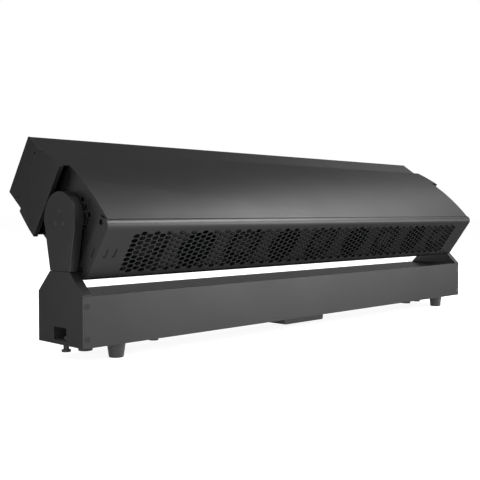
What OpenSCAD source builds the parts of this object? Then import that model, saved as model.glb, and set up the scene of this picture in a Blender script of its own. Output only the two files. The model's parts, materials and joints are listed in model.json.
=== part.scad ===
// Tilting pixel bar: a long base box with an arm at each end, and between the arms a
// head with one row of lenses in front and a perforated vent panel behind.
// X runs along the bar, the lenses look to -Y, and Z is up from the surface it stands on.
// Inside the head, u is the distance forward of the tilt axis and v the distance above it.

/* [Base] */
// Length over the two ends
base_l = 1000; // [900:10:1150]
// Depth of the base box from front to back
base_w = 113; // [112:1:130]
// Height of the base box
base_h = 70.7; // [70:0.1:85]
// Sheet of the front and back panels
panel_t = 1.5; // [1:0.1:2]
// Sheet of the tray and of the top cover
tray_t = 2; // [1.5:0.1:2.4]
// Groove between the top cover and each panel
top_groove = 1; // [0.6:0.1:2]
// Height of the rubber feet
foot_h = 21; // [18:0.5:30]
// Foot diameter where it meets the base
foot_top_d = 27; // [24:0.5:32]
// Foot diameter at the floor
foot_floor_d = 21; // [18:0.5:23]
// Foot distance from the end of the bar
foot_from_end = 68; // [64:1:170]
// Foot distance from the face of the front or back panel
foot_from_side = 18.5; // [17.5:0.5:25]

/* [Arms] */
// Thickness of an arm with its cover
arm_t = 14.5; // [13.5:0.5:20]
// Steel plate inside each arm
plate_t = 4; // [3:0.5:5]
// Height of the tilt axis above the underside of the base
pivot_h = 174.6; // [170:0.1:200]
// Radius of the round top of an arm
arm_r = 38.7; // [36:0.1:40]
// Half width of the neck of an arm
neck_half = 24.6; // [23:0.1:28]
// Height of the neck above the underside of the base
neck_h = 102; // [98:0.5:110]
// Wall of the arm and end covers
cover_wall = 2.5; // [2:0.1:3]

/* [Head] */
// Tilt of the lenses above level at rest, in degrees
tilt_rest = 35; // [0:1:90]
// Gap between the head and each arm
head_gap = 1.5; // [1:0.1:3]
// Front edge of the hood, ahead of the tilt axis
hood_front = 140.3; // [136:0.1:160]
// Half height of the hood
hood_half = 48.6; // [48:0.1:52]
// Wall of the hood
hood_wall = 2.6; // [2:0.1:2.8]
// Front edge of the curved covers
cover_front = 97; // [95:0.5:100]
// Half height of the covers at their front edge
cover_front_half = 54.2; // [53:0.1:56]
// Seam between a curved cover and the vent panel, behind the tilt axis
seam_back = 70; // [69:0.5:72]
// Half height of the covers at the seam
seam_half = 50; // [49.5:0.1:51]
// Radius of the curved covers
cover_r = 412; // [380:1:600]
// Sheet of the curved covers and the vent panel
cover_t = 1.6; // [1:0.1:2]
// Back face of the vent panel, behind the tilt axis
back_face = 81; // [80:0.5:84]
// Back edge of the end cheeks, ahead of the tilt axis
cheek_back = 41.5; // [41:0.1:44]
// Side plates of the head
side_t = 2; // [1.5:0.1:3]

/* [Vents] */
// Column pitch of the hexagonal holes along the bar
hex_pitch_x = 11.6; // [11:0.1:14]
// Row pitch of the hexagonal holes
hex_pitch_v = 8.1; // [8:0.05:9]
// Length of a hexagonal hole along the bar
hex_len = 12.4; // [10:0.1:13]
// Height of a hexagonal hole
hex_high = 6.7; // [5:0.1:7.2]
// Length of a hole's slanted corners, along the bar
hex_slant = 2.9; // [2:0.1:3.5]
// Plain border at each end of the vent panel
vent_border = 48.6; // [44:0.1:60]
// Rows in the shorter columns
hex_rows = 8; // [6:1:8]
// Openings of the fan plate
vent_zones = 9; // [9]

/* [Optics] */
// Lenses in the row
lens_count = 16; // [14:1:16]
// Lens diameter
lens_d = 56; // [48:0.5:57]
// Front of the lens plate, ahead of the tilt axis
lens_plate_u = 111; // [110:0.5:113]
// Thickness of the clear window
window_t = 3; // [2:0.5:4]

/* [Tilt drive] */
// Outside diameter of the hollow tilt shaft
shaft_d = 20; // [18:0.5:22]
// Cable bore through the tilt shaft
shaft_bore = 12; // [11:0.5:13]
// Outside diameter of the tilt bushes
bush_d = 28; // [26:0.5:30]
// Running clearance of shafts and pins, on the radius
run_clear = 0.05; // [0.02:0.01:0.08]
// Diameter of the pulley on the head
head_pulley_d = 44; // [40:1:50]
// Diameter of the pulley on the motor
motor_pulley_d = 11; // [10:0.5:14]
// Height of the motor axis above the underside of the base
motor_h = 47.6; // [47.5:0.1:50]
// Side of the square motor
motor_side = 42; // [35:0.5:42]

/* [Coupling] */
// Width of the side coupling socket
socket_w = 31; // [28:0.5:34]
// Height of the side coupling socket
socket_h = 18; // [14:0.5:19]
// Floor of the socket above the underside of the base
socket_floor = 6; // [5:0.5:7]
// Depth of the socket
socket_deep = 27; // [20:1:34]
// Diameter of the locking pin
pin_d = 6; // [5:0.5:8]
// Travel of the locking pin
pin_travel = 7; // [5:0.5:8]

/* [Hidden] */

paint = [0.16, 0.16, 0.165];
steel = [0.55, 0.55, 0.57];
zinc = [0.68, 0.68, 0.7];
black = [0.07, 0.07, 0.07];
rubber = [0.1, 0.1, 0.1];
alloy = [0.75, 0.76, 0.78];
board_green = [0.06, 0.25, 0.14];
clear = [0.85, 0.9, 0.95, 0.35];

$fn = 48;
fine = 240;
eps = 0.01;
seat = 0.1;

// Heights of the base, from the floor
z_under = foot_h;
z_top = z_under + base_h;
z_neck = z_under + neck_h;
z_pivot = z_under + pivot_h;
shoulder_slope = (z_neck - z_top) / (base_w / 2 - neck_half);
shoulder_k = sqrt(1 + shoulder_slope * shoulder_slope);

// Stations along the bar, from its centre
end_x = base_l / 2;
inner_x = end_x - arm_t;
plate_x = inner_x + plate_t;
vent_x = inner_x - head_gap;
side_x = vent_x - 3;
side_in_x = side_x - side_t;
cheek_x = end_x - 1;
cheek_front_x = cheek_x - 3.4;
cheek_in_x = cheek_front_x - 3.1;
end_wrap = 2;
panel_x = end_x - end_wrap;
foot_x = end_x - foot_from_end;
foot_y = base_w / 2 - foot_from_side;
boss_from_foot = 71;
boss_inside_foot = 3.4;
boss_x = foot_x - boss_from_foot;
boss_y = foot_y - boss_inside_foot;

// Panels of the base
panel_out = base_w / 2;
panel_in = panel_out - panel_t;
flange_out = panel_in - seat;
top_half = panel_in - top_groove;
panel_screw_in = 6.4;
panel_screw_rise = 12.2;
panel_screw_apart = 44.6;
panel_screw_d = 7.4;
panel_screw_dome = 0.8;
panel_screw_shank = 3;
panel_screw_l = 8;
panel_screw_drive = 3;
panel_recess_d = 8.4;
panel_recess = 0.6;
panel_screw_x = end_x - panel_screw_in;
panel_screw_low = z_under + panel_screw_rise;
panel_screw_high = panel_screw_low + panel_screw_apart;

// Head section
hood_back = cover_front - 6;
hood_in = hood_half - hood_wall;
hood_in_x = cheek_in_x - hood_wall;
corner_r = 10;
vent_t = cover_t;
seam_gap = 1.2;
lug_l = 12;
lip_x = side_in_x - lug_l - 1;
side_front = 33;
side_fillet_r = 12;
side_fillet_v = 56.7;
side_recess = 4;
recess_x = side_x - side_recess;
recess_front = 84;
tab_back = 46;
joggle = 2.2;
arc_mid = arc_centre([cover_front, cover_front_half], [-seam_back, seam_half], cover_r);

// Vent field
fan_side = 80;
fan_bore = 76;
fan_deep = 20;
fan_gap = 2.5;
fan_plate_t = 1.5;
fan_plate_u = -back_face + vent_t + fan_gap;
fan_u = fan_plate_u + fan_plate_t;
fan_edge_gap = 2;
fan_half = seam_half - corner_r - fan_edge_gap
  + sqrt(pow(corner_r - vent_t, 2) - pow(corner_r - vent_t - fan_gap, 2));
zone_pitch = 2 * side_in_x / (vent_zones + 0.6);
zone_hole_d = 70;
hex_cols = floor((vent_x - vent_border - hex_len / 2) / hex_pitch_x);

// Heat sink and optics
sink_back = 14;
sink_base = 58;
sink_front = 66;
sink_half = 44;
sink_x = recess_x - side_t;
led_board_x = sink_x - 4;
led_board_half = 20;
fin_t = 2;
fin_count = 12;
board_t = 1.6;
emitter_side = 7;
emitter_h = 3;
lens_pitch = 2 * hood_in_x / lens_count;
lens_plate_t = 3;
lens_back_u = sink_front + board_t + emitter_h + 2;
lens_rim_t = 2;
window_u = lens_plate_u + lens_rim_t + 9;

// Tilt drive
pulley_w = 6;
belt_t = 1.4;
belt_gap = 0.3;
shaft_end = end_x - cover_wall - 0.6;
pulley_x = plate_x + 0.7;
z_motor = z_under + motor_h;
motor_deep = 40;
motor_shaft_d = 5;

// Coupling
block_w = socket_w + 6;
block_top = z_under + socket_floor + socket_h + 1.2;
block_in_x = end_x - socket_deep - 3;
pin_x = end_x - 10;
knob_d = 13;
knob_low = z_under - 11;
pin_tip = z_under + socket_floor + 5;

function arc_centre(a, b, r) =
  let (m = (a + b) / 2, d = b - a, l = norm(d), h = sqrt(r * r - l * l / 4))
  [m[0] - h * d[1] / l, m[1] + h * d[0] / l];
function upper_v(u, t = 0) = arc_mid[1] + sqrt(pow(cover_r - t, 2) - pow(u - arc_mid[0], 2));
function zone_x(i) = (i - (vent_zones - 1) / 2) * zone_pitch;
function fan_x(i) = zone_x(2 * (i - 1));
function lens_x(i) = (i - (lens_count - 1) / 2) * lens_pitch;

// Extrusions. prism_x takes outlines in (y, z), prism_y in (x, z).
module prism_x(x0, x1) {
  translate([x0, 0, 0]) rotate([90, 0, 90]) linear_extrude(x1 - x0) children();
}
module prism_y(y0, y1) {
  translate([0, y1, 0]) rotate([90, 0, 0]) linear_extrude(y1 - y0) children();
}
module rod_x(x0, x1, y, z, d) {
  translate([x0, y, z]) rotate([0, 90, 0]) cylinder(h = x1 - x0, d = d);
}
module rod_y(y0, y1, x, z, d) {
  translate([x, y1, z]) rotate([90, 0, 0]) cylinder(h = y1 - y0, d = d);
}
module rod_z(z0, z1, x, y, d) {
  translate([x, y, z0]) cylinder(h = z1 - z0, d = d);
}
module block(x0, x1, y0, y1, z0, z1) {
  translate([x0, y0, z0]) cube([x1 - x0, y1 - y0, z1 - z0]);
}
module both_ends() {
  children();
  mirror([1, 0, 0]) children();
}
module both_sides() {
  children();
  mirror([0, 1, 0]) children();
}

// Places head parts: the optical axis is -Y before the tilt.
module in_head() {
  translate([0, 0, z_pivot]) rotate([-tilt_rest, 0, 0]) children();
}
module plate_u(u0, u1) {
  prism_y(-u1, -u0) children();
}
module rod_u(u0, u1, x, v, d) {
  rod_y(-u1, -u0, x, v, d);
}
module u_band(u0, u1, v0, v1) {
  translate([-u1, v0]) square([u1 - u0, v1 - v0]);
}
module rounded_rect(x0, x1, z0, z1, r) {
  translate([x0 + r, z0]) square([x1 - x0 - 2 * r, z1 - z0]);
  translate([x0, z0 + r]) square([x1 - x0, z1 - z0 - 2 * r]);
  for (x = [x0 + r, x1 - r], z = [z0 + r, z1 - r]) translate([x, z]) circle(r);
}

// Screw with a round head, along +X, +Y or +Z from the seat of its head
module screw(head_d, head_h, shank_d, shank_l, hex_d) {
  difference() {
    union() {
      translate([0, 0, -head_h]) cylinder(h = head_h, d = head_d);
      cylinder(h = shank_l, d = shank_d);
    }
    translate([0, 0, -head_h - eps]) cylinder(h = head_h * 0.7, d = hex_d, $fn = 6);
  }
}

// Outline of an arm above its neck, shrunk by an inset
module arm_outline(inset = 0) {
  r = arm_r - inset;
  half = neck_half - inset;
  drop = z_neck - z_pivot;
  graze = r - 0.05;
  angle = atan2(drop, half) + acos(graze / norm([half, drop]));
  touch = [graze * cos(angle), z_pivot + graze * sin(angle)];
  translate([0, z_pivot]) circle(r, $fn = fine);
  polygon([[-half, z_neck], [half, z_neck], touch, [-touch[0], touch[1]]]);
}

// Outline of the base end below the neck, shrunk by an inset
function shoulder_z(y, t) = z_top + shoulder_slope * (base_w / 2 - y) - t * shoulder_k;
function shoulder_y(z, t) = base_w / 2 - (z - z_top + t * shoulder_k) / shoulder_slope;
module end_outline(inset = 0) {
  half = base_w / 2 - inset;
  low = z_under + inset;
  high = z_neck - inset;
  side = shoulder_z(half, inset);
  top = shoulder_y(high, inset);
  polygon([[-half, low], [half, low], [half, side], [top, high], [-top, high], [-half, side]]);
}
// The same between the front and back panels
module end_section(inset = 0) {
  half = panel_in - 0.05 - inset * 0.6;
  intersection() {
    end_outline(inset);
    translate([-half, 0]) square([2 * half, 2 * z_neck]);
  }
}

tray_flange = 11;
module base_tray() {
  color(paint) difference() {
    union() {
      block(-inner_x, inner_x, -flange_out, flange_out, z_under, z_under + tray_t);
      both_sides() block(-inner_x, inner_x, flange_out - tray_t, flange_out, z_under, z_under + tray_flange);
    }
    both_ends() {
      block(block_in_x - 0.2, end_x, -block_w / 2 - 0.2, block_w / 2 + 0.2, z_under - 1, block_top + 0.2);
      for (y = [-foot_y, foot_y]) rod_z(z_under - 1, z_under + 5, foot_x, y, 5.4);
      for (y = [-boss_y, boss_y]) rod_z(z_under - 1, z_under + 5, boss_x, y, boss_neck_d);
      rod_z(z_under - 1, z_under + 5, bracket_screw_x, 0, 5.4);
    }
    rod_z(z_under - 1, z_under + 5, 0, 0, 16);
  }
}

// Angle brackets on the tray, beside the motor and the socket, that carry the end plates
bracket_foot = 16;
module end_brackets() {
  foot_z = z_under + tray_t;
  half = flange_out - 8;
  open_half = max(motor_side, block_w) / 2 + 0.5;
  color(steel) both_ends() both_sides() {
    block(inner_x - tray_t, inner_x, open_half, half, foot_z, z_top - 6);
    block(inner_x - bracket_foot, inner_x, open_half, half, foot_z, foot_z + tray_t);
  }
}

boss_d = 14;
boss_drop = 5.5;
boss_neck_d = 10;
bracket_l = 109;
bracket_w = 48.6;
bracket_drop = 15.1;
bracket_wall = 3;
bracket_screw_x = 38;

module panel_blank(y0, y1) {
  edge = 1.2;
  prism_y(y0, y1) rounded_rect(-panel_x, panel_x, z_under, z_top, edge);
}

module back_panel() {
  color(paint) difference() {
    panel_blank(panel_in, panel_out);
    both_ends() for (z = [panel_screw_low, panel_screw_high]) panel_screw_holes(z, panel_out, panel_in);
  }
}

module panel_screw_holes(z, face, back) {
  out = sign(face);
  rod_y(min(face, back) - 1, max(face, back) + 1, panel_screw_x, z, 4.4);
  floor_y = face - out * panel_recess;
  rod_y(min(floor_y, face + out), max(floor_y, face + out), panel_screw_x, z, panel_recess_d);
}

// Places on the front panel, from its centre
port_pitch = 45;
power_from_end = 155;
data_from_end = 240;
network_from_end = 150;
power_at = [power_from_end - end_x, power_from_end + port_pitch - end_x];
data_at = [end_x - data_from_end - port_pitch, end_x - data_from_end];
network_at = [end_x - network_from_end - port_pitch, end_x - network_from_end];
display_at = 0;
button_at = [60, 76, 92, 108];
port_z = z_under + base_h / 2;
flange_w = 26;
flange_h = 31;
port_hole_d = 24;
display_w = 64;
display_h = 30;
display_rim = 4;
display_deep = 9;
button_d = 8;
button_clear = 0.3;
button_proud = 1.4;
collar_d = 10.6;
collar_t = 1;
collar_gap = 0.3;
collar_room = 3.2;
stem_d = 3;
stem_l = 5.5;

module front_panel() {
  color(paint) difference() {
    panel_blank(-panel_out, -panel_in);
    both_ends() for (z = [panel_screw_low, panel_screw_high]) panel_screw_holes(z, -panel_out, -panel_in);
    for (x = concat(power_at, data_at, network_at)) rod_y(-panel_out - 1, -panel_in + 1, x, port_z, port_hole_d);
    prism_y(-panel_out - 1, -panel_in + 1)
      rounded_rect(display_at - display_w / 2, display_at + display_w / 2,
                   port_z - display_h / 2, port_z + display_h / 2, 3);
    for (x = button_at) rod_y(-panel_out - 1, -panel_in + 1, x, port_z, button_d + 2 * button_clear);
  }
}

module top_cover() {
  lip = 9;
  lip_in = flange_out - tray_t - 1;
  color(paint) {
    prism_x(-inner_x + 0.6, inner_x - 0.6) difference() {
      union() {
        rounded_rect(-top_half, top_half, z_top - tray_t + 0.2, z_top + 0.2, 0.9);
        translate([-lip_in, z_top - lip]) square([2 * lip_in, lip - 1]);
      }
      translate([-lip_in + tray_t, z_top - lip - 1]) square([2 * (lip_in - tray_t), lip + 1 - tray_t + 0.2]);
    }
  }
}

plate_inset = cover_wall + 0.3;
module end_plate(drive) {
  color(steel) difference() {
    prism_x(inner_x, plate_x) {
      arm_outline(plate_inset);
      end_section(plate_inset);
      translate([-neck_half + plate_inset, z_neck - 8]) square([2 * (neck_half - plate_inset), 9]);
    }
    rod_x(inner_x - 1, plate_x + 1, 0, z_pivot, bush_d);
    block(inner_x - 1, plate_x + 1, -block_w / 2 - 0.2, block_w / 2 + 0.2, z_under - 1, block_top + 0.2);
    if (drive) {
      rod_x(inner_x - 1, plate_x + 1, 0, z_motor, 22.4);
      for (y = [-15.5, 15.5], z = [-15.5, 15.5]) rod_x(inner_x - 1, plate_x + 1, y, z_motor + z, 3.4);
    } else {
      rod_x(inner_x - 1, plate_x + 1, 0, z_cable, cable_d + 4);
    }
  }
}
module end_plate_right() { end_plate(true); }
module end_plate_left() { mirror([1, 0, 0]) end_plate(false); }

// Cover of the base end, with the socket opening and the panel screw bosses
module end_cover() {
  boss = 5.5;
  color(paint) difference() {
    union() {
      difference() {
        prism_x(inner_x, panel_x + eps) end_section();
        prism_x(inner_x - 1, end_x - cover_wall) end_section(cover_wall);
      }
      intersection() {
        prism_x(panel_x, end_x) end_outline();
        linear_extrude(2 * z_neck) rounded_rect(-end_x, end_x, -base_w / 2, base_w / 2, end_wrap);
      }
      both_sides() for (z = [panel_screw_low, panel_screw_high])
        block(plate_x + 0.1, end_x - 1, panel_in - 10, panel_in - 0.5, z - boss, z + boss);
    }
    block(inner_x - 1, end_x - cover_wall, -block_w / 2 - 0.2, block_w / 2 + 0.2, z_under - 1, block_top + 0.2);
    prism_x(inner_x, end_x + 1) translate([-socket_w / 2, z_under + socket_floor]) square([socket_w, socket_h]);
    block(inner_x - 1, end_x - cover_wall, -neck_half + cover_wall, neck_half - cover_wall, z_neck - 9, z_neck + 1);
    both_sides() for (z = [panel_screw_low, panel_screw_high])
      rod_y(panel_in - 9, panel_out + 1, panel_screw_x, z, 3.1);
  }
}
module end_cover_right() { end_cover(); }
module end_cover_left() { mirror([1, 0, 0]) end_cover(); }

arm_screw_r = 11.3;
neck_seam = 0.3;
module arm_cover() {
  color(paint) difference() {
    prism_x(inner_x, end_x) difference() {
      arm_outline();
      translate([-base_w, z_neck - 1]) square([2 * base_w, 1 + neck_seam]);
    }
    prism_x(inner_x - 1, end_x - cover_wall) difference() {
      arm_outline(cover_wall);
      translate([-base_w, 0]) square([2 * base_w, z_neck - 1]);
    }
    for (a = [90, 210, 330])
      arm_screw_place(a) {
        cylinder(h = 2 * cover_wall + 2, d = 2.6, center = true);
        translate([0, 0, -3]) cylinder(h = 3, d = 5.2);
      }
  }
}
// The seat of an arm screw's head, 1 mm under the outer face, looking inwards
module arm_screw_place(a) {
  translate([end_x - 1, arm_screw_r * cos(a), z_pivot + arm_screw_r * sin(a)]) rotate([0, -90, 0]) children();
}
module arm_cover_right() { arm_cover(); }
module arm_cover_left() { mirror([1, 0, 0]) arm_cover(); }

module rubber_feet() {
  color(rubber) for (x = [-foot_x, foot_x], y = [-foot_y, foot_y]) translate([x, y, 0]) difference() {
    cylinder(h = foot_h, d1 = foot_floor_d, d2 = foot_top_d);
    translate([0, 0, -1]) cylinder(h = foot_h + 2, d = 5.4);
    translate([0, 0, -1]) cylinder(h = 9, d = 11);
  }
}

module underside_screws() {
  foot_seat = 8;
  color(black) {
    for (x = [-foot_x, foot_x], y = [-foot_y, foot_y])
      translate([x, y, foot_seat]) screw(9.5, 4, 5, foot_h - foot_seat + 8, 4);
    for (x = [-bracket_screw_x, bracket_screw_x])
      translate([x, 0, z_under - bracket_drop + bracket_wall]) screw(9, 3, 5, bracket_drop - bracket_wall + 8, 4);
  }
}

module panel_screws() {
  color(black) both_ends() both_sides() for (z = [panel_screw_low, panel_screw_high])
    translate([panel_screw_x, panel_out - panel_recess, z]) rotate([90, 0, 0])
      screw(panel_screw_d, panel_screw_dome, panel_screw_shank, panel_screw_l, panel_screw_drive);
}

module arm_screws() {
  color(black) both_ends() for (a = [90, 210, 330])
    arm_screw_place(a) screw(5, 0.9, 2.5, cover_wall - 1.2, 2);
}

// Shallow upturned channel under the middle, with a threaded rigging hole
rigging_r = 5;
module centre_bracket() {
  low = z_under - bracket_drop;
  color(paint) difference() {
    union() {
      prism_y(-bracket_w / 2, bracket_w / 2) difference() {
        union() {
          rounded_rect(-bracket_l / 2, bracket_l / 2, low, z_under + 6, 4);
        }
        translate([-bracket_l / 2 + bracket_wall, low + bracket_wall])
          square([bracket_l - 2 * bracket_wall, bracket_drop + 6]);
        translate([-bracket_l, z_under]) square([2 * bracket_l, 10]);
      }
      both_sides() block(-bracket_l / 2 + bracket_wall - 0.5, bracket_l / 2 - bracket_wall + 0.5,
                         bracket_w / 2 - bracket_wall, bracket_w / 2, low + 1, z_under);
      rod_z(low + 1, z_under, 0, 0, 20);
      for (x = [-bracket_screw_x, bracket_screw_x]) rod_z(low + 1, z_under, x, 0, 12);
    }
    rod_z(low - 1, z_under + 1, 0, 0, 2 * rigging_r);
    for (x = [-bracket_screw_x, bracket_screw_x]) {
      rod_z(low - 1, z_under + 1, x, 0, 5.4);
      rod_z(low - 1, low + bracket_wall, x, 0, 9.6);
    }
  }
}

boss_hole_r = 4;
module rigging_bosses() {
  color(paint) for (x = [-boss_x, boss_x], y = [-boss_y, boss_y]) difference() {
    union() {
      rod_z(z_under - boss_drop, z_under, x, y, boss_d);
      rod_z(z_under - eps, z_under + 6, x, y, boss_neck_d - 0.2);
    }
    rod_z(z_under - boss_drop - 1, z_under + 4, x, y, 2 * boss_hole_r);
  }
}

// Cast block with the socket, and below it the bore of the locking pin
spring_d = 9;
spring_room = 2.6;
module coupling_blocks() {
  floor_z = z_under + socket_floor;
  color(black) both_ends() difference() {
    block(block_in_x, end_x - cover_wall, -block_w / 2, block_w / 2, z_under, block_top);
    block(end_x - socket_deep, end_x, -socket_w / 2, socket_w / 2, floor_z, floor_z + socket_h);
    rod_z(z_under - 1, floor_z + 1, pin_x, 0, pin_d + 2 * run_clear);
    rod_z(z_under - 1, z_under + spring_room, pin_x, 0, spring_d + 1);
  }
}

module plunger() {
  color(black) {
    rod_z(knob_low + 2, pin_tip - 1, pin_x, 0, pin_d);
    translate([pin_x, 0, pin_tip - 1]) cylinder(h = 1, d1 = pin_d, d2 = pin_d - 2);
    translate([pin_x, 0, knob_low]) cylinder(h = 3, d = knob_d);
    rod_z(knob_low + 2, z_under - 1.5, pin_x, 0, pin_d + 2);
  }
}
module plunger_right() { plunger(); }
module plunger_left() { mirror([1, 0, 0]) plunger(); }

module plunger_springs() {
  color(zinc) both_ends() difference() {
    rod_z(z_under + 0.2, z_under + spring_room, pin_x, 0, spring_d);
    rod_z(z_under - 1, z_under + 8, pin_x, 0, pin_d + 0.8);
  }
}

// Electronics in the base
psu_clear = 35;
psu_x0 = power_at[1] + psu_clear;
psu_x1 = -65;
psu_half = 44;
psu_high = 42;
psu_vent_d = 6;
psu_vent_pitch = 12;
psu_vent_in = 14;
module power_supply() {
  wall = 1.2;
  z0 = z_under + tray_t;
  color(zinc) difference() {
    block(psu_x0, psu_x1, -psu_half, psu_half, z0, z0 + psu_high);
    block(psu_x0 + wall, psu_x1 - wall, -psu_half + wall, psu_half - wall, z0 + wall, z0 + psu_high - wall);
    for (x = [psu_x0 + psu_vent_in : psu_vent_pitch : psu_x1 - psu_vent_in])
      for (y = [psu_vent_in - psu_half : psu_vent_pitch : psu_half - psu_vent_in])
        rod_z(z0 + psu_high - 2 * wall, z0 + psu_high + 1, x, y, psu_vent_d);
  }
}

board_x0 = 30;
board_x1 = 200;
board_y0 = -30;
board_y1 = 42;
post_h = 10;
post_d = 6;
post_in = 8;
chip_l = 14;
chip_h = 3;
chip_pitch = 28;
capacitor_d = 10;
capacitor_h = 12;
capacitor_pitch = 20;
module control_board() {
  z0 = z_under + tray_t;
  z1 = z0 + post_h + board_t;
  color(board_green) {
    block(board_x0, board_x1, board_y0, board_y1, z0 + post_h, z1);
    for (x = [board_x0 + post_in, board_x1 - post_in], y = [board_y0 + post_in, board_y1 - post_in])
      rod_z(z0, z0 + post_h + eps, x, y, post_d);
    for (x = [board_x0 + chip_pitch : chip_pitch : board_x1 - chip_l])
      block(x, x + chip_l, -chip_l / 2, chip_l / 2, z1 - eps, z1 + chip_h);
    for (x = [board_x0 + capacitor_pitch : capacitor_pitch : board_x1 - capacitor_pitch])
      rod_z(z1 - eps, z1 + capacitor_h, x, board_y1 - chip_l, capacitor_d);
  }
}

module display_module() {
  face = -panel_in;
  color(black) difference() {
    block(display_at - display_w / 2 - display_rim, button_at[3] + button_d + display_rim,
          face, face + display_deep,
          port_z - display_h / 2 - display_rim, port_z + display_h / 2 + display_rim);
    for (x = button_at) {
      rod_y(face - 1, face + collar_room, x, port_z, collar_d + 1.4);
      rod_y(face - 1, face + stem_l + 1.5, x, port_z, stem_d + 2 * run_clear);
    }
  }
}

// Buttons run on a stem in the display module, with a collar behind the panel
module menu_button(i) {
  x = button_at[i];
  face = -panel_out;
  color(black) {
    rod_y(face - button_proud, -panel_in + collar_gap + eps, x, port_z, button_d);
    rod_y(-panel_in + collar_gap, -panel_in + collar_gap + collar_t, x, port_z, collar_d);
    rod_y(-panel_in + collar_gap + eps, -panel_in + stem_l, x, port_z, stem_d);
  }
}
module menu_button_1() { menu_button(0); }
module menu_button_2() { menu_button(1); }
module menu_button_3() { menu_button(2); }
module menu_button_4() { menu_button(3); }

// Panel connector: a square flange with a barrel through the panel
port_clear = 0.2;
port_rim_t = 2.5;
power_deep = 28;
power_ring_d = 19;
power_core_d = 11;
power_ring_deep = 18;
pin_hole_d = 2.3;
data_deep = 24;
data_face_d = 17;
data_pin_r = 5;
network_w = 12;
network_h = 9;
network_deep = 14;
module port(x, barrel_deep) {
  rod_y(-panel_out - 1, -panel_out + barrel_deep, x, port_z, port_hole_d - 2 * port_clear);
  prism_y(-panel_out - port_rim_t, -panel_out)
    rounded_rect(x - flange_w / 2, x + flange_w / 2, port_z - flange_h / 2, port_z + flange_h / 2, 2.5);
}
module port_pins(x, angles, r, deep) {
  for (a = angles)
    rod_y(-panel_out - port_rim_t - 1, -panel_out + deep, x + r * cos(a), port_z + r * sin(a), pin_hole_d);
}

module power_connectors() {
  front = -panel_out - port_rim_t;
  color(black) for (x = power_at) difference() {
    port(x, power_deep);
    difference() {
      rod_y(front - 1, front + power_ring_deep, x, port_z, power_ring_d);
      rod_y(front - 2, front + power_ring_deep + 1, x, port_z, power_core_d);
    }
    port_pins(x, [90, 210, 330], power_core_d / 4, power_ring_deep / 2);
  }
}

module data_connectors() {
  front = -panel_out - port_rim_t;
  color(black) {
    for (x = data_at) difference() {
      port(x, data_deep);
      rod_y(front - 1, front + 1, x, port_z, data_face_d);
      port_pins(x, [-30 : 60 : 210], data_pin_r, data_deep / 3);
    }
    for (x = network_at) difference() {
      port(x, data_deep);
      block(x - network_w / 2, x + network_w / 2, front - 1, front + network_deep,
            port_z - network_h / 2, port_z + network_h / 2);
    }
  }
}

module tilt_motor() {
  face_x = inner_x - seat;
  color(black) difference() {
    union() {
      prism_x(face_x - motor_deep, face_x) translate([-motor_side / 2, z_motor - motor_side / 2]) square(motor_side);
      rod_x(face_x - eps, face_x + 2, 0, z_motor, 22);
    }
    rod_x(face_x - 14, face_x + 3, 0, z_motor, motor_shaft_d + 2 * run_clear);
  }
}

module motor_pulley() {
  flange = 0.6;
  color(alloy) {
    rod_x(inner_x - 13, pulley_x + pulley_w, 0, z_motor, motor_shaft_d);
    rod_x(pulley_x, pulley_x + pulley_w, 0, z_motor, motor_pulley_d);
    rod_x(pulley_x + pulley_w - flange, pulley_x + pulley_w, 0, z_motor, motor_pulley_d + 4);
  }
}

// Timing belt: two straight runs and two arcs round the pulleys
module tilt_belt() {
  r1 = head_pulley_d / 2 + belt_gap;
  r2 = motor_pulley_d / 2 + belt_gap;
  span = z_pivot - z_motor;
  lean = asin((r1 - r2) / span);
  run_l = span * cos(lean);
  color(black) prism_x(pulley_x + 0.4, pulley_x + pulley_w - 0.8) {
    belt_arc(z_pivot, r1, lean, 1);
    belt_arc(z_motor, r2, lean, -1);
    for (s = [-1, 1])
      translate([s * r2 * cos(lean), z_motor - r2 * sin(lean)]) rotate(-s * lean)
        translate([s > 0 ? 0 : -belt_t, 0]) square([belt_t, run_l]);
  }
}
module belt_arc(z, r, lean, up) {
  reach = 2 * (r + belt_t);
  cut = r + belt_t;
  translate([0, z]) intersection() {
    difference() {
      circle(r + belt_t, $fn = 96);
      circle(r, $fn = 96);
    }
    polygon([
      [0, 0], [cut * 2 * cos(lean), -cut * 2 * sin(lean)], [reach, up * reach], [-reach, up * reach],
      [-cut * 2 * cos(lean), -cut * 2 * sin(lean)]
    ]);
  }
}

module tilt_bushes() {
  color("peru") both_ends() difference() {
    rod_x(inner_x, plate_x, 0, z_pivot, bush_d - 0.04);
    rod_x(inner_x - 1, plate_x + 1, 0, z_pivot, shaft_d + 2 * run_clear);
  }
}

// Internal lead: out of the base, up the left arm and through the hollow shaft
cable_d = 6;
cable_gap = 0.6;
cable_tail = 30;
cable_lead_in = 12;
cable_drop = 40;
z_cable = z_neck - cable_drop;
module head_cable() {
  bend = cable_d;
  lane = end_x - cover_wall - cable_d / 2 - cable_gap;
  color(black) mirror([1, 0, 0]) {
    rod_x(inner_x - cable_tail, lane - bend, 0, z_cable, cable_d);
    translate([lane - bend, 0, z_cable + bend]) rotate([90, 0, 0]) rotate([0, 0, -90])
      rotate_extrude(angle = 90) translate([bend, 0]) circle(d = cable_d);
    rod_z(z_cable + bend, z_pivot - bend, lane, 0, cable_d);
    translate([lane - bend, 0, z_pivot - bend]) rotate([90, 0, 0])
      rotate_extrude(angle = 90) translate([bend, 0]) circle(d = cable_d);
    rod_x(side_in_x - cable_lead_in, lane - bend, 0, z_pivot, cable_d);
  }
}

// Section of the head body between the two curved covers, shrunk by t
module body_section(t = 0) {
  intersection() {
    translate([-arc_mid[0], arc_mid[1]]) circle(cover_r - t, $fn = 4 * fine);
    translate([-arc_mid[0], -arc_mid[1]]) circle(cover_r - t, $fn = 4 * fine);
  }
}

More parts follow.
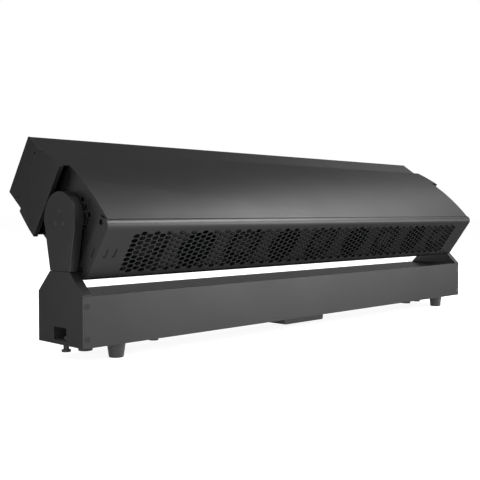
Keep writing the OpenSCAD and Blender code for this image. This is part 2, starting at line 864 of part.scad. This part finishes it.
module lens_hood() {
  ledge_u = window_u - 2;
  color(paint) in_head() difference() {
    prism_x(-cheek_in_x, cheek_in_x) u_band(hood_back, hood_front, -hood_half, hood_half);
    prism_x(-hood_in_x, hood_in_x) {
      u_band(hood_back - 1, ledge_u - 1.6, -hood_in, hood_in);
      u_band(ledge_u, hood_front + 1, -hood_in, hood_in);
    }
    prism_x(-hood_in_x + 4, hood_in_x - 4) u_band(ledge_u - 2, ledge_u + 1, -hood_in + 4, hood_in - 4);
  }
}

module cheek() {
  tall = 3 * cover_front_half;
  color(paint) in_head() difference() {
    intersection() {
      prism_x(cheek_in_x, cheek_x + 1) {
        u_band(cover_front - 1, hood_front, -hood_half, hood_half);
        intersection() {
          body_section();
          u_band(cheek_back, cover_front, -tall, tall);
        }
      }
      linear_extrude(tall, center = true) polygon([
        [cheek_in_x, -hood_front], [cheek_front_x, -hood_front], [cheek_x, -cheek_back - 8],
        [cheek_x, -cheek_back], [cheek_in_x, -cheek_back]
      ]);
    }
    prism_x(cheek_in_x - 1, cheek_x - 3) intersection() {
      body_section(6);
      u_band(cheek_back + 3, hood_back - 4, -tall, tall);
    }
    for (v = [-39, 39]) rod_x(cheek_front_x - 1, cheek_x + 1, -111, v, 3.4);
  }
}
module cheek_right() { cheek(); }
module cheek_left() { mirror([1, 0, 0]) cheek(); }

screw_lugs = [[-25, 46.6], [-64, 40.6]];
head_screw_d = 6;
head_screw_sunk = 1.3;
head_screw_room = 0.5;

// Curved cover: one sheet between the arms, wider ahead of them, with a front return
module curved_cover() {
  color(paint) {
    prism_x(-side_x, side_x) cover_sheet(-seam_back, cover_front);
    both_ends() prism_x(side_x - 1, cheek_in_x) cover_sheet(tab_back, cover_front);
    prism_x(-cheek_in_x, cheek_in_x) intersection() {
      body_section();
      u_band(cover_front - cover_t, cover_front, hood_half + seat, 2 * hood_half);
    }
    both_ends() prism_x(side_in_x - lug_l, side_in_x) for (p = screw_lugs) intersection() {
      u_band(p[0] - 5, p[0] + 5, p[1] - 5, p[1] + 20);
      body_section(cover_t / 2);
    }
  }
}
module cover_sheet(u0, u1) {
  intersection() {
    difference() {
      body_section();
      body_section(cover_t);
    }
    u_band(u0, u1, 20, 90);
  }
}
module upper_cover() { in_head() curved_cover_drilled(); }
module lower_cover() { in_head() mirror([0, 0, 1]) curved_cover_drilled(); }
module curved_cover_drilled() {
  color(paint) difference() {
    curved_cover();
    both_ends() for (p = screw_lugs) rod_x(side_in_x - 10, side_x + 1, -p[0], p[1], 2.6);
  }
}

// Holes of the vent field: longer columns on the centre, shorter between them
module hex_hole() {
  tip = hex_len / 2;
  flat = tip - hex_slant;
  half = hex_high / 2;
  polygon([[-tip, 0], [-flat, half], [flat, half], [tip, 0], [flat, -half], [-flat, -half]]);
}
module hex_field() {
  for (c = [-hex_cols : hex_cols]) {
    rows = hex_rows + (hex_cols - abs(c)) % 2;
    for (r = [0 : rows - 1])
      translate([c * hex_pitch_x, (r - (rows - 1) / 2) * hex_pitch_v]) hex_hole();
  }
}

slot_w = 4.6;
slot_h = 14;
slot_at = [14, 29];
slot_deep = 0.9;
slot_lap = 0.5;
flange_slot_y = back_face - 7;
flange_slot_v = -4;
flange_hole_d = 8.4;
module slot_outline(lap = 0) {
  square([slot_w + 2 * lap, slot_h + 2 * lap], center = true);
}
module vent_panel() {
  flat = seam_half - corner_r;
  back = -back_face;
  color(paint) in_head() {
    plate_u(back, back + vent_t) difference() {
      translate([-vent_x, -flat]) square([2 * vent_x, 2 * flat]);
      hex_field();
      for (d = slot_at) translate([vent_x - d, 0]) slot_outline();
    }
    plate_u(back + slot_deep, back + vent_t + 0.3)
      for (d = slot_at) translate([vent_x - d, 0]) slot_outline(slot_lap);
    prism_x(-vent_x, vent_x) {
      vent_corner();
      mirror([0, 1]) vent_corner();
    }
    prism_x(-lip_x, lip_x) {
      vent_lip();
      mirror([0, 1]) vent_lip();
    }
    mirror([1, 0, 0]) prism_x(vent_x - vent_t, vent_x) vent_flange_holed();
    prism_x(vent_x - vent_t, vent_x) difference() {
      vent_flange_holed();
      translate([flange_slot_y, flange_slot_v]) slot_outline();
    }
    prism_x(vent_x - vent_t - 0.3, vent_x - slot_deep)
      translate([flange_slot_y, flange_slot_v]) slot_outline(slot_lap);
  }
}
module vent_corner() {
  back = -back_face;
  seam_u = -seam_back - seam_gap;
  bend_u = min(back + corner_r, seam_u);
  mid = [-(back + corner_r), seam_half - corner_r];
  intersection() {
    translate(mid) difference() {
      circle(corner_r);
      circle(corner_r - vent_t);
    }
    u_band(back, bend_u, mid[1], seam_half + 1);
  }
  if (bend_u < seam_u) u_band(bend_u - eps, seam_u, seam_half - vent_t, seam_half);
}
// Joggled lip that carries the panel under the edge of a curved cover
module vent_lip() {
  seam_u = -seam_back - seam_gap;
  low = seam_half - joggle - vent_t;
  u_band(seam_u - vent_t, seam_u, low, seam_half - vent_t / 2);
  u_band(seam_u - vent_t, seam_u + 12, low, low + vent_t);
}
module vent_flange() {
  back = -back_face;
  flat = seam_half - corner_r;
  intersection() {
    union() {
      u_band(back, -seam_back + 14, -flat, flat);
      u_band(back + corner_r, -seam_back + 14, -seam_half + 3, seam_half - 3);
      for (s = [-1, 1]) translate([-(back + corner_r), s * flat]) circle(corner_r);
    }
    u_band(back, -seam_back + 14, -seam_half + eps, seam_half - eps);
  }
}

// The flange with its access holes over the rear head screws
module vent_flange_holed() {
  difference() {
    vent_flange();
    for (s = [-1, 1]) translate([-screw_lugs[1][0], s * screw_lugs[1][1]]) circle(d = flange_hole_d);
  }
}

// Side plate: follows the covers, with vent holes round the hub, and set back in front
side_hole_d = 8;
side_pitch_u = 12.5;
side_pitch_v = 8.6;
side_hole_at = 5;
side_holes_in = 32;
side_holes_out = 45;
module side_plate() {
  color(paint) in_head() difference() {
    union() {
      prism_x(side_in_x, side_x) difference() {
        intersection() {
          body_section(cover_t + seat);
          side_outline();
        }
        side_vents();
        for (p = screw_lugs, s = [-1, 1]) translate([-p[0], s * p[1]]) circle(d = 3.6);
        circle(d = shaft_bore + 4);
      }
      prism_x(recess_x - side_t, side_in_x + eps) intersection() {
        body_section(cover_t + seat);
        difference() {
          side_front_edge(0);
          side_front_edge(side_t);
        }
      }
      prism_x(recess_x - side_t, recess_x) intersection() {
        body_section(cover_t + seat);
        u_band(side_front - side_t, recess_front, -2 * seam_half, 2 * seam_half);
      }
    }
    for (p = screw_lugs, s = [-1, 1])
      rod_x(side_x - head_screw_sunk, side_x + 1, -p[0], s * p[1], head_screw_d + 2 * head_screw_room);
  }
}
module side_vents() {
  for (c = [-3 : -1]) for (r = [-6 : 5]) {
    at = [side_hole_at + c * side_pitch_u, (r + abs(c) % 2 / 2) * side_pitch_v];
    if (norm(at) > side_holes_in && norm(at) < side_holes_out)
      translate([-at[0], at[1]]) circle(d = side_hole_d, $fn = 6);
  }
}
// All that lies behind the front edge, which widens forward in a fillet at each cover
module side_front_edge(back) {
  high = 2 * seam_half;
  turn = side_fillet_v - side_fillet_r;
  front = -side_front - side_fillet_r;
  translate([back, 0]) {
    translate([-side_front, -high]) square([side_front + back_face, 2 * high]);
    for (s = [-1, 1]) difference() {
      translate([front, s > 0 ? turn : -high]) square([side_fillet_r + eps, high - turn]);
      translate([front, s * turn]) circle(side_fillet_r);
    }
  }
}
module side_outline() {
  back_r = corner_r - vent_t - 0.3;
  back_y = back_face - corner_r;
  back_v = seam_half - corner_r;
  high = 2 * seam_half;
  intersection() {
    side_front_edge(0);
    union() {
      translate([-side_front - side_fillet_r, -high]) square([side_front + side_fillet_r + back_y, 2 * high]);
      translate([0, -back_v]) square([back_y + back_r, 2 * back_v]);
      for (s = [-1, 1]) translate([back_y, s * back_v]) circle(back_r);
    }
  }
}
module side_plate_right() { side_plate(); }
module side_plate_left() { mirror([1, 0, 0]) side_plate(); }

module fan_plate() {
  r = 20;
  h = fan_bore / 2;
  color(paint) in_head() plate_u(fan_plate_u, fan_plate_u + fan_plate_t) difference() {
    translate([-side_in_x, -fan_half]) square([2 * side_in_x, 2 * fan_half]);
    for (i = [0 : vent_zones - 1]) translate([zone_x(i), 0])
      if (i % 2 == 0) rounded_rect(-h, h, -h + 1, h - 1, r);
      else circle(d = zone_hole_d);
  }
}

module fan_frames() {
  pin = 4;
  hub_d = 30;
  color(black) in_head() for (i = [1 : 5]) translate([fan_x(i), 0, 0]) {
    difference() {
      plate_u(fan_u, fan_u + fan_deep) difference() {
        rounded_rect(-fan_side / 2, fan_side / 2, -fan_side / 2, fan_side / 2, 4);
        circle(d = fan_bore);
        for (x = [-35.7, 35.7], v = [-35.7, 35.7]) translate([x, v]) circle(d = 4.3);
      }
    }
    rod_u(fan_u + fan_deep - 4, fan_u + fan_deep, 0, 0, hub_d);
    for (a = [45 : 90 : 315]) rotate([0, a, 0])
      translate([-2, -fan_u - fan_deep, hub_d / 2 - 1]) cube([4, 3, fan_bore / 2 - hub_d / 2 + 2]);
    rod_u(fan_u + 3, fan_u + fan_deep - 3, 0, 0, pin);
  }
}

module fan_rotor(i) {
  blades = 7;
  deep = fan_deep - 7;
  color(black) in_head() translate([fan_x(i), -fan_u - 1.5, 0]) rotate([90, 0, 0]) difference() {
    union() {
      cylinder(h = deep, d = 32);
      intersection() {
        cylinder(h = deep, d = fan_bore - 3);
        for (b = [0 : blades - 1]) rotate([0, 0, b * 360 / blades])
          translate([14, 0, deep / 2]) rotate([38, 0, 0]) translate([0, -0.8, -deep]) cube([30, 1.6, 2 * deep]);
      }
    }
    translate([0, 0, -1]) cylinder(h = deep + 2, d = 4 + 2 * run_clear);
  }
}
module fan_rotor_1() { fan_rotor(1); }
module fan_rotor_2() { fan_rotor(2); }
module fan_rotor_3() { fan_rotor(3); }
module fan_rotor_4() { fan_rotor(4); }
module fan_rotor_5() { fan_rotor(5); }

module heat_sink() {
  pitch = (2 * sink_half - fin_t) / (fin_count - 1);
  color(alloy) in_head() prism_x(-sink_x, sink_x) {
    u_band(sink_base, sink_front, -sink_half, sink_half);
    for (i = [0 : fin_count - 1])
      u_band(sink_back, sink_base + 1, -sink_half + i * pitch, -sink_half + i * pitch + fin_t);
  }
}

module led_board() {
  color("white") in_head() plate_u(sink_front, sink_front + board_t)
    translate([-led_board_x, -led_board_half]) square([2 * led_board_x, 2 * led_board_half]);
}

module led_emitters() {
  u0 = sink_front + board_t;
  color("gold") in_head() for (i = [0 : lens_count - 1]) {
    plate_u(u0, u0 + 1) translate([lens_x(i) - emitter_side / 2, -emitter_side / 2]) square(emitter_side);
    rod_u(u0 + 1 - eps, u0 + emitter_h, lens_x(i), 0, emitter_side - 1.4);
  }
}

module lens_plate() {
  u1 = lens_plate_u;
  rise = lens_plate_t;
  color(black) in_head() {
    plate_u(u1 - rise, u1) difference() {
      translate([-hood_in_x + seat, -hood_in + seat]) square([2 * (hood_in_x - seat), 2 * (hood_in - seat)]);
      for (i = [0 : lens_count - 1]) translate([lens_x(i), 0]) circle(d = lens_d - 5);
    }
    for (i = [0.5 : 3 : lens_count - 1], v = [-36, 36]) rod_u(sink_front, u1 - rise + eps, lens_x(i), v, 8);
  }
}

module lenses() {
  rim = lens_d / 2;
  back = 9;
  neck = rim - 3.4;
  cone_h = lens_plate_u - lens_back_u;
  color(clear) in_head() for (i = [0 : lens_count - 1])
    translate([lens_x(i), -lens_back_u, 0]) rotate([90, 0, 0]) rotate_extrude($fn = 64) polygon([
      [0, 3], [4, 3], [4, 0], [back, 0], [neck, cone_h], [rim, cone_h], [rim, cone_h + lens_rim_t],
      [rim * 0.7, cone_h + lens_rim_t + 2.6], [rim * 0.35, cone_h + lens_rim_t + 3.8], [0, cone_h + lens_rim_t + 4.2]
    ]);
}

module front_window() {
  color(clear) in_head() plate_u(window_u - 2, window_u - 2 + window_t)
    translate([-hood_in_x + seat, -hood_in + seat]) square([2 * (hood_in_x - seat), 2 * (hood_in - seat)]);
}

// Hollow trunnion: a flange on the side plate and a shaft through the arm's bush
hub_d = 58;
module tilt_hubs() {
  color(alloy) in_head() {
    trunnion(shaft_end);
    mirror([1, 0, 0]) trunnion(plate_x + 0.4);
  }
}
module trunnion(reach) {
  hub_t = vent_x - side_x - 0.4;
  difference() {
    union() {
      rod_x(side_x, side_x + hub_t, 0, 0, hub_d);
      rod_x(side_x, reach, 0, 0, shaft_d);
      rod_x(side_in_x, side_x + eps, 0, 0, shaft_bore + 3.8);
    }
    rod_x(side_in_x - 1, end_x, 0, 0, shaft_bore);
  }
}

module head_pulley() {
  flange = 0.6;
  color(alloy) in_head() difference() {
    union() {
      rod_x(pulley_x, pulley_x + pulley_w, 0, 0, head_pulley_d);
      rod_x(pulley_x + pulley_w - flange, pulley_x + pulley_w, 0, 0, head_pulley_d + 5);
    }
    rod_x(pulley_x - 1, pulley_x + pulley_w + 1, 0, 0, shaft_d + 0.04);
  }
}

driver_v = -34;
driver_back = -48;
driver_front = 6;
driver_l = 180;
driver_at = 0.62;
driver_chip = 12;
driver_chip_h = 8;
driver_chip_pitch = 30;
module driver_boards() {
  deep = driver_front - driver_back;
  post_x = driver_l / 2 - post_d;
  color(board_green) in_head() for (x = [-side_in_x * driver_at, side_in_x * driver_at]) {
    translate([x - driver_l / 2, -driver_front, driver_v]) cube([driver_l, deep, board_t]);
    for (i = [-2 : 2])
      translate([x + i * driver_chip_pitch - driver_chip / 2, driver_chip, driver_v + board_t - eps])
        cube([driver_chip, driver_chip, driver_chip_h]);
    for (dx = [-post_x, post_x], u = [driver_back + post_d, driver_front - post_d]) intersection() {
      translate([x + dx, -u, driver_v - seam_half]) cylinder(h = seam_half + eps, d = post_d);
      prism_x(x + dx - post_d, x + dx + post_d) body_section(cover_t + 3 * seat);
    }
  }
}

module head_screws() {
  color(black) in_head() both_ends() for (p = screw_lugs, s = [-1, 1])
    translate([side_x - head_screw_sunk, -p[0], s * p[1]]) rotate([0, -90, 0])
      screw(head_screw_d, 0.9, 2.5, 7, 2);
}

base_tray();
back_panel();
front_panel();
top_cover();
end_plate_left();
end_plate_right();
end_cover_left();
end_cover_right();
arm_cover_left();
arm_cover_right();
rubber_feet();
underside_screws();
panel_screws();
arm_screws();
centre_bracket();
rigging_bosses();
coupling_blocks();
plunger_left();
plunger_right();
plunger_springs();
end_brackets();
power_supply();
control_board();
display_module();
menu_button_1();
menu_button_2();
menu_button_3();
menu_button_4();
power_connectors();
data_connectors();
tilt_motor();
motor_pulley();
tilt_belt();
tilt_bushes();
head_cable();
lens_hood();
cheek_left();
cheek_right();
upper_cover();
lower_cover();
vent_panel();
side_plate_left();
side_plate_right();
fan_plate();
fan_frames();
fan_rotor_1();
fan_rotor_2();
fan_rotor_3();
fan_rotor_4();
fan_rotor_5();
heat_sink();
led_board();
led_emitters();
lens_plate();
lenses();
front_window();
tilt_hubs();
head_pulley();
driver_boards();
head_screws();
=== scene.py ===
"""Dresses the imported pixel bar: rounded sheet metal, powder coat, glass and a studio's light."""
import json
import math

import bmesh
import bpy
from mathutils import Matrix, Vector


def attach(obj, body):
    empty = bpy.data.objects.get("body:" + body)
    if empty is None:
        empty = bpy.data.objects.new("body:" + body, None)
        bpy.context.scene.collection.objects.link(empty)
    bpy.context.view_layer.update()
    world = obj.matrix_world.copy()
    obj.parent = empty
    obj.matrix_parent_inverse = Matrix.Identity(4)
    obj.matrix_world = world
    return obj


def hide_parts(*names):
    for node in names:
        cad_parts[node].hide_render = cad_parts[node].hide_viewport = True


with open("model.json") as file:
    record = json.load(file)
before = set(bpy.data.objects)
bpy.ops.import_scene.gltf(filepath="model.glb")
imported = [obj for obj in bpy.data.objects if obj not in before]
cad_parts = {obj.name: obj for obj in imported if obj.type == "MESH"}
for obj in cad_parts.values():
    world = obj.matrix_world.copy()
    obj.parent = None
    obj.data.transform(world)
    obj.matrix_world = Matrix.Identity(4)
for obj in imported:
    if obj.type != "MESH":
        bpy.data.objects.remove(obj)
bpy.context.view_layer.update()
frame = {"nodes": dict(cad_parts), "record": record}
NODES = frame["nodes"]
scene = bpy.context.scene
# A millimetre in the frame's metres
MM = 0.001
SLOT_OF = {entry["node"]: entry["material_slot"] for entry in frame["record"]["subparts"]}
BODY_OF = {
    node: body for body, nodes in frame["record"]["behaviour"]["bodies"].items() for node in nodes
}


# Materials

# Most of a noise texture's values lie between these two
NOISE_SPREAD = (0.3, 0.7)


class Shader:
    """A Principled material with short helpers for its procedural nodes."""

    def __init__(self, name, color, rough, metal=0.0, specular=0.5):
        self.material = bpy.data.materials.new(name)
        self.material.use_nodes = True
        self.tree = self.material.node_tree
        self.bsdf = self.tree.nodes["Principled BSDF"]
        self.color = color
        self.set("Base Color", (*color, 1))
        self.set("Roughness", rough)
        self.set("Metallic", metal)
        self.set("Specular IOR Level", specular)
        self.where = self.node("ShaderNodeTexCoord").outputs["Object"]

    def set(self, socket, value):
        self.bsdf.inputs[socket].default_value = value

    def node(self, kind, **inputs):
        made = self.tree.nodes.new(kind)
        for key, value in inputs.items():
            made.inputs[key].default_value = value
        return made

    def link(self, source, target):
        self.tree.links.new(source, target)

    def stretched(self, scale):
        """Object coordinates scaled by (x, y, z), for brushed or extruded grain."""
        mapping = self.node("ShaderNodeMapping")
        mapping.inputs["Scale"].default_value = scale
        self.link(self.where, mapping.inputs["Vector"])
        return mapping.outputs["Vector"]

    def noise(self, scale, detail=3.0, rough=0.5, coords=None):
        made = self.node("ShaderNodeTexNoise", Scale=scale, Detail=detail, Roughness=rough)
        self.link(coords or self.where, made.inputs["Vector"])
        return made.outputs["Fac"]

    def ramp(self, fac, start, end):
        """A run of colours by fac, from start to end, each given as (fac, colour or grey)."""
        made = self.node("ShaderNodeValToRGB")
        for element, (at, color) in zip(made.color_ramp.elements, (start, end)):
            element.position = at
            element.color = (*color, 1) if isinstance(color, tuple) else (color, color, color, 1)
        self.link(fac, made.inputs["Fac"])
        return made.outputs["Color"]

    def tint(self, fac, low, high, spread=NOISE_SPREAD):
        """Base colour between low and high times the main colour, by fac."""
        shades = [tuple(min(1, part * factor) for part in self.color) for factor in (low, high)]
        color = self.ramp(fac, *zip(spread, shades))
        self.link(color, self.bsdf.inputs["Base Color"])

    def gloss(self, fac, low, high):
        """Roughness between low and high, by fac."""
        rough = self.ramp(fac, *zip(NOISE_SPREAD, (low, high)))
        self.link(rough, self.bsdf.inputs["Roughness"])

    def bump(self, *layers):
        """Bump layers as (height, strength, distance in metres), one over the other."""
        normal = None
        for height, strength, distance in layers:
            made = self.node("ShaderNodeBump", Strength=strength, Distance=distance)
            self.link(height, made.inputs["Height"])
            if normal:
                self.link(normal, made.inputs["Normal"])
            normal = made.outputs["Normal"]
        self.link(normal, self.bsdf.inputs["Normal"])


def powder_coat(name, color, rough):
    """Fine textured graphite powder coat: pin-head grain, slow waviness, uneven satin sheen."""
    shader = Shader(name, color, rough, metal=0.85, specular=0.15)
    shader.set("Specular Tint", (0.1, 0.1, 0.1, 1))
    grain = shader.noise(scale=1500, detail=2, rough=0.6)
    orange_peel = shader.noise(scale=260, detail=2)
    cloud = shader.noise(scale=9)
    shader.tint(cloud, 0.96, 1.05)
    shader.gloss(grain, rough - 0.04, rough + 0.05)
    shader.bump((orange_peel, 0.05, 0.0003), (grain, 0.2, 0.00012))
    return shader.material


def moulded(name, color, rough, specular=0.45):
    """Moulded plastic or rubber with a fine eroded texture."""
    shader = Shader(name, color, rough, specular=specular)
    grain = shader.noise(scale=2200, rough=0.6)
    cloud = shader.noise(scale=30)
    sheen = shader.noise(scale=400, detail=2)
    shader.tint(cloud, 0.88, 1.12)
    shader.gloss(sheen, rough - 0.06, rough + 0.06)
    shader.bump((grain, 0.25, 0.0001))
    return shader.material


def bare_metal(name, color, rough, grain=(60, 60, 60), metal=1.0):
    """Plated, brushed or extruded metal, with grain stretched by the scale along each axis."""
    shader = Shader(name, color, rough, metal=metal)
    lines = shader.noise(scale=12, detail=4, rough=0.6, coords=shader.stretched(grain))
    cloud = shader.noise(scale=40)
    shader.tint(cloud, 0.85, 1.1)
    shader.gloss(lines, rough - 0.08, rough + 0.1)
    shader.bump((lines, 0.15, 0.00008))
    return shader.material


def circuit_board(name, color):
    """Solder resist with traces faintly raised and lighter."""
    shader = Shader(name, color, rough=0.5, specular=0.3)
    cells = shader.node("ShaderNodeTexVoronoi", Scale=260)
    cells.feature = "DISTANCE_TO_EDGE"
    shader.link(shader.where, cells.inputs["Vector"])
    trace = shader.ramp(cells.outputs["Distance"], (0.03, 1.0), (0.06, 0.0))
    shader.tint(trace, 0.85, 1.35, spread=(0.1, 0.9))
    shader.bump((trace, 0.3, 0.00005))
    return shader.material


def clear(name, color, rough, ior, grain=0.02):
    """Clear moulded glass or acrylic with a trace of surface ripple."""
    shader = Shader(name, color, rough)
    shader.set("Transmission Weight", 1.0)
    shader.set("IOR", ior)
    shader.bump((shader.noise(scale=120, detail=2), grain, 0.0002))
    return shader.material


# Base colour, roughness and what else each finish needs, by material slot
MATERIALS = {
    "dark_paint": powder_coat("dark_paint", (0.04, 0.04, 0.0404), 0.38),
    "plain_steel": bare_metal("plain_steel", (0.42, 0.42, 0.43), 0.38, grain=(1, 8, 8)),
    "black_screw": bare_metal("black_screw", (0.02, 0.02, 0.021), 0.4, metal=0.7),
    "rubber": moulded("rubber", (0.016, 0.016, 0.016), 0.62),
    "black_plastic": moulded("black_plastic", (0.008, 0.008, 0.0083), 0.7, specular=0.1),
    "key_plastic": moulded("key_plastic", (0.05, 0.05, 0.052), 0.38),
    "cast_alloy": bare_metal("cast_alloy", (0.06, 0.06, 0.062), 0.55),
    "bare_alloy": bare_metal("bare_alloy", (0.62, 0.63, 0.65), 0.34, grain=(1, 40, 40)),
    "board": circuit_board("board", (0.006, 0.03, 0.016)),
    "led_board": moulded("led_board", (0.72, 0.72, 0.7), 0.3),
    "emitter": moulded("emitter", (0.75, 0.62, 0.16), 0.2),
    "lens": clear("lens", (0.96, 0.98, 1.0), 0.03, ior=1.49),
    "window": clear("window", (0.97, 0.985, 0.99), 0.01, ior=1.45, grain=0.005),
    "bronze": bare_metal("bronze", (0.5, 0.32, 0.15), 0.35),
    "belt": moulded("belt", (0.02, 0.02, 0.02), 0.7),
    "cable": moulded("cable", (0.015, 0.015, 0.016), 0.55),
    "spring_steel": bare_metal("spring_steel", (0.5, 0.5, 0.52), 0.28),
}


# Pieces

# Steel plates that are painted with the covers around them
FINISH = {"end_plate_left": "dark_paint", "end_plate_right": "dark_paint"}
# Vertices of the CAD mesh closer than this, in metres, are one
WELD = 1e-6
# Edges of the CAD mesh that turn more than this, in degrees, are rounded
ROUNDED_FROM = 28.0
# Edges of the rounded mesh that turn more than this, in degrees, stay sharp in the shading
SHARP_FROM = 14.0


def dressed(node, width, segments, least_edge):
    """Puts a copy in a CAD node's place, its sharp edges over least_edge rounded by width."""
    slot = FINISH.get(node, SLOT_OF[node])
    mesh = NODES[node].data.copy()
    # The import's own normals would hide the rounding
    imported = mesh.attributes.get("custom_normal")
    if imported:
        mesh.attributes.remove(imported)
    shape = bmesh.new()
    shape.from_mesh(mesh)
    bmesh.ops.remove_doubles(shape, verts=shape.verts, dist=WELD)
    weight = shape.edges.layers.float.new("bevel_weight_edge")
    for edge in shape.edges:
        sharp = edge.is_manifold and edge.calc_face_angle() > math.radians(ROUNDED_FROM)
        edge[weight] = 1.0 if sharp and edge.calc_length() > least_edge else 0.0
    shape.to_mesh(mesh)
    shape.free()
    piece = bpy.data.objects.new(f"{node}_finished", mesh)
    scene.collection.objects.link(piece)
    mesh.materials.clear()
    mesh.materials.append(MATERIALS[slot])
    bevel = piece.modifiers.new("edges", "BEVEL")
    bevel.width = width
    bevel.segments = segments
    bevel.limit_method = "WEIGHT"
    bevel.use_clamp_overlap = True
    evaluated = piece.evaluated_get(bpy.context.evaluated_depsgraph_get())
    rounded = bpy.data.meshes.new_from_object(evaluated)
    piece.modifiers.remove(bevel)
    piece.data = rounded
    for polygon in rounded.polygons:
        polygon.use_smooth = True
    rounded.set_sharp_from_angle(angle=math.radians(SHARP_FROM))
    level = piece.modifiers.new("level_faces", "WEIGHTED_NORMAL")
    level.keep_sharp = True
    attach(piece, BODY_OF[node])
    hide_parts(node)


# Width of the rounding in mm, its segments, and the length in mm above which an edge has it
BEVELS = {
    "end_cover_left": (1.0, 3, 2.5), "end_cover_right": (1.0, 3, 2.5),
    "arm_cover_left": (1.6, 5, 2.5), "arm_cover_right": (1.6, 5, 2.5),
    "back_panel": (0.5, 2, 0), "front_panel": (0.5, 2, 0),
    "top_cover": (0.5, 2, 0), "base_tray": (0.4, 2, 0),
    "lens_hood": (0.6, 2, 0), "cheek_left": (2.4, 5, 0), "cheek_right": (2.4, 5, 0),
    "upper_cover": (0.5, 2, 0), "lower_cover": (0.5, 2, 0),
    "side_plate_left": (0.4, 2, 1.5), "side_plate_right": (0.4, 2, 1.5),
    "centre_bracket": (0.4, 2, 0), "rubber_feet": (0.6, 3, 0),
    "end_plate_left": (0.3, 2, 1.5), "end_plate_right": (0.3, 2, 1.5),
}
for node, (width, segments, least_edge) in BEVELS.items():
    dressed(node, width * MM, segments, least_edge * MM)
for node, part in NODES.items():
    if node not in BEVELS:
        part.data.materials.clear()
        part.data.materials.append(MATERIALS[SLOT_OF[node]])


# Stage


def light_path_mix(owner, seen, lit, output):
    """Shows `seen` to camera, mirror and glass rays and `lit` to the rest."""
    tree = owner.node_tree
    path = tree.nodes.new("ShaderNodeLightPath")
    shown = path.outputs["Is Camera Ray"]
    for ray in ("Is Glossy Ray", "Is Transmission Ray"):
        either = tree.nodes.new("ShaderNodeMath")
        either.operation = "MAXIMUM"
        tree.links.new(shown, either.inputs[0])
        tree.links.new(path.outputs[ray], either.inputs[1])
        shown = either.outputs[0]
    mix = tree.nodes.new("ShaderNodeMixShader")
    tree.links.new(shown, mix.inputs["Fac"])
    tree.links.new(lit, mix.inputs[1])
    tree.links.new(seen, mix.inputs[2])
    tree.links.new(mix.outputs[0], output)


# A white world for the camera, mirrors and glass, and the weaker one that lights the object
WORLD_SEEN = 1.0
WORLD_LIT = 0.25
# The floor reaches this far each way, in metres. What the camera sees glows nearly white, and
# lamp light on a soft grey makes up the rest outside the object's shadow. What lights the object
# is a plain grey.
FLOOR_REACH = 30.0
FLOOR_GLOW = 0.9
FLOOR_SOFT = 0.35
FLOOR_GREY = 0.8


def white_light(tree, strength):
    made = tree.nodes.new("ShaderNodeBackground")
    made.inputs["Color"].default_value = (1, 1, 1, 1)
    made.inputs["Strength"].default_value = strength
    return made.outputs[0]


def backdrop_world():
    world = bpy.data.worlds.new("studio")
    scene.world = world
    world.use_nodes = True
    tree = world.node_tree
    tree.nodes.remove(tree.nodes["Background"])
    output = tree.nodes["World Output"].inputs["Surface"]
    light_path_mix(world, white_light(tree, WORLD_SEEN), white_light(tree, WORLD_LIT), output)


def diffuse_grey(tree, grey):
    made = tree.nodes.new("ShaderNodeBsdfDiffuse")
    made.inputs["Color"].default_value = (grey, grey, grey, 1)
    return made.outputs[0]


def pale_floor():
    far = FLOOR_REACH
    corners = [(-far, -far, 0), (far, -far, 0), (far, far, 0), (-far, far, 0)]
    mesh = bpy.data.meshes.new("floor")
    mesh.from_pydata(corners, [], [(0, 1, 2, 3)])
    floor = bpy.data.objects.new("floor", mesh)
    scene.collection.objects.link(floor)
    material = bpy.data.materials.new("pale_floor")
    material.use_nodes = True
    tree = material.node_tree
    tree.nodes.remove(tree.nodes["Principled BSDF"])
    glow = tree.nodes.new("ShaderNodeEmission")
    glow.inputs["Strength"].default_value = FLOOR_GLOW
    both = tree.nodes.new("ShaderNodeAddShader")
    tree.links.new(diffuse_grey(tree, FLOOR_SOFT), both.inputs[0])
    tree.links.new(glow.outputs[0], both.inputs[1])
    output = tree.nodes["Material Output"].inputs["Surface"]
    light_path_mix(material, both.outputs[0], diffuse_grey(tree, FLOOR_GREY), output)
    mesh.materials.append(material)


# All lamps hang at one distance from this point near the bar's middle and face it
LAMP_AIM = Vector((0, 0, 0.15))
LAMP_AWAY = 2.5
# Azimuth and elevation in degrees, width and height in metres, and watts
LAMPS = {
    "behind_low": (140, 8, 1.6, 1.2, 58),
    "behind_high": (159, 42, 2.0, 1.0, 140),
    "near_end": (32, 4, 0.7, 0.7, 24),
    "over_end": (-4, 53, 0.7, 0.7, 30),
    "lens_side": (270, 33, 1.2, 0.8, 20),
}


def softbox(name, azimuth, elevation, wide, high, power):
    turn, rise = math.radians(azimuth), math.radians(elevation)
    out = Vector((math.cos(rise) * math.cos(turn), math.cos(rise) * math.sin(turn), math.sin(rise)))
    data = bpy.data.lights.new(name, "AREA")
    data.shape = "RECTANGLE"
    data.size, data.size_y = wide, high
    data.energy = power
    lamp = bpy.data.objects.new(name, data)
    scene.collection.objects.link(lamp)
    lamp.location = LAMP_AIM + out * LAMP_AWAY
    lamp.rotation_euler = (LAMP_AIM - lamp.location).to_track_quat("-Z", "Y").to_euler()


backdrop_world()
pale_floor()
for name, values in LAMPS.items():
    softbox(name, *values)

# Camera

# Place, pitch above level and heading of the photo's camera, fitted to the bar's long edges
CAMERA_AT = (1.1065, 0.9471, 0.2047)
CAMERA_PITCH = -1.98
CAMERA_HEADING = 224.49
camera_data = bpy.data.cameras.new("camera")
camera_data.sensor_width = 36
camera_data.lens = 59.33
camera_data.clip_start = 0.02
camera = bpy.data.objects.new("camera", camera_data)
scene.collection.objects.link(camera)
camera.location = CAMERA_AT
camera.rotation_euler = (math.radians(90 + CAMERA_PITCH), 0, math.radians(CAMERA_HEADING - 90))
scene.camera = camera
scene.view_settings.view_transform = "Standard"

bpy.context.view_layer.update()
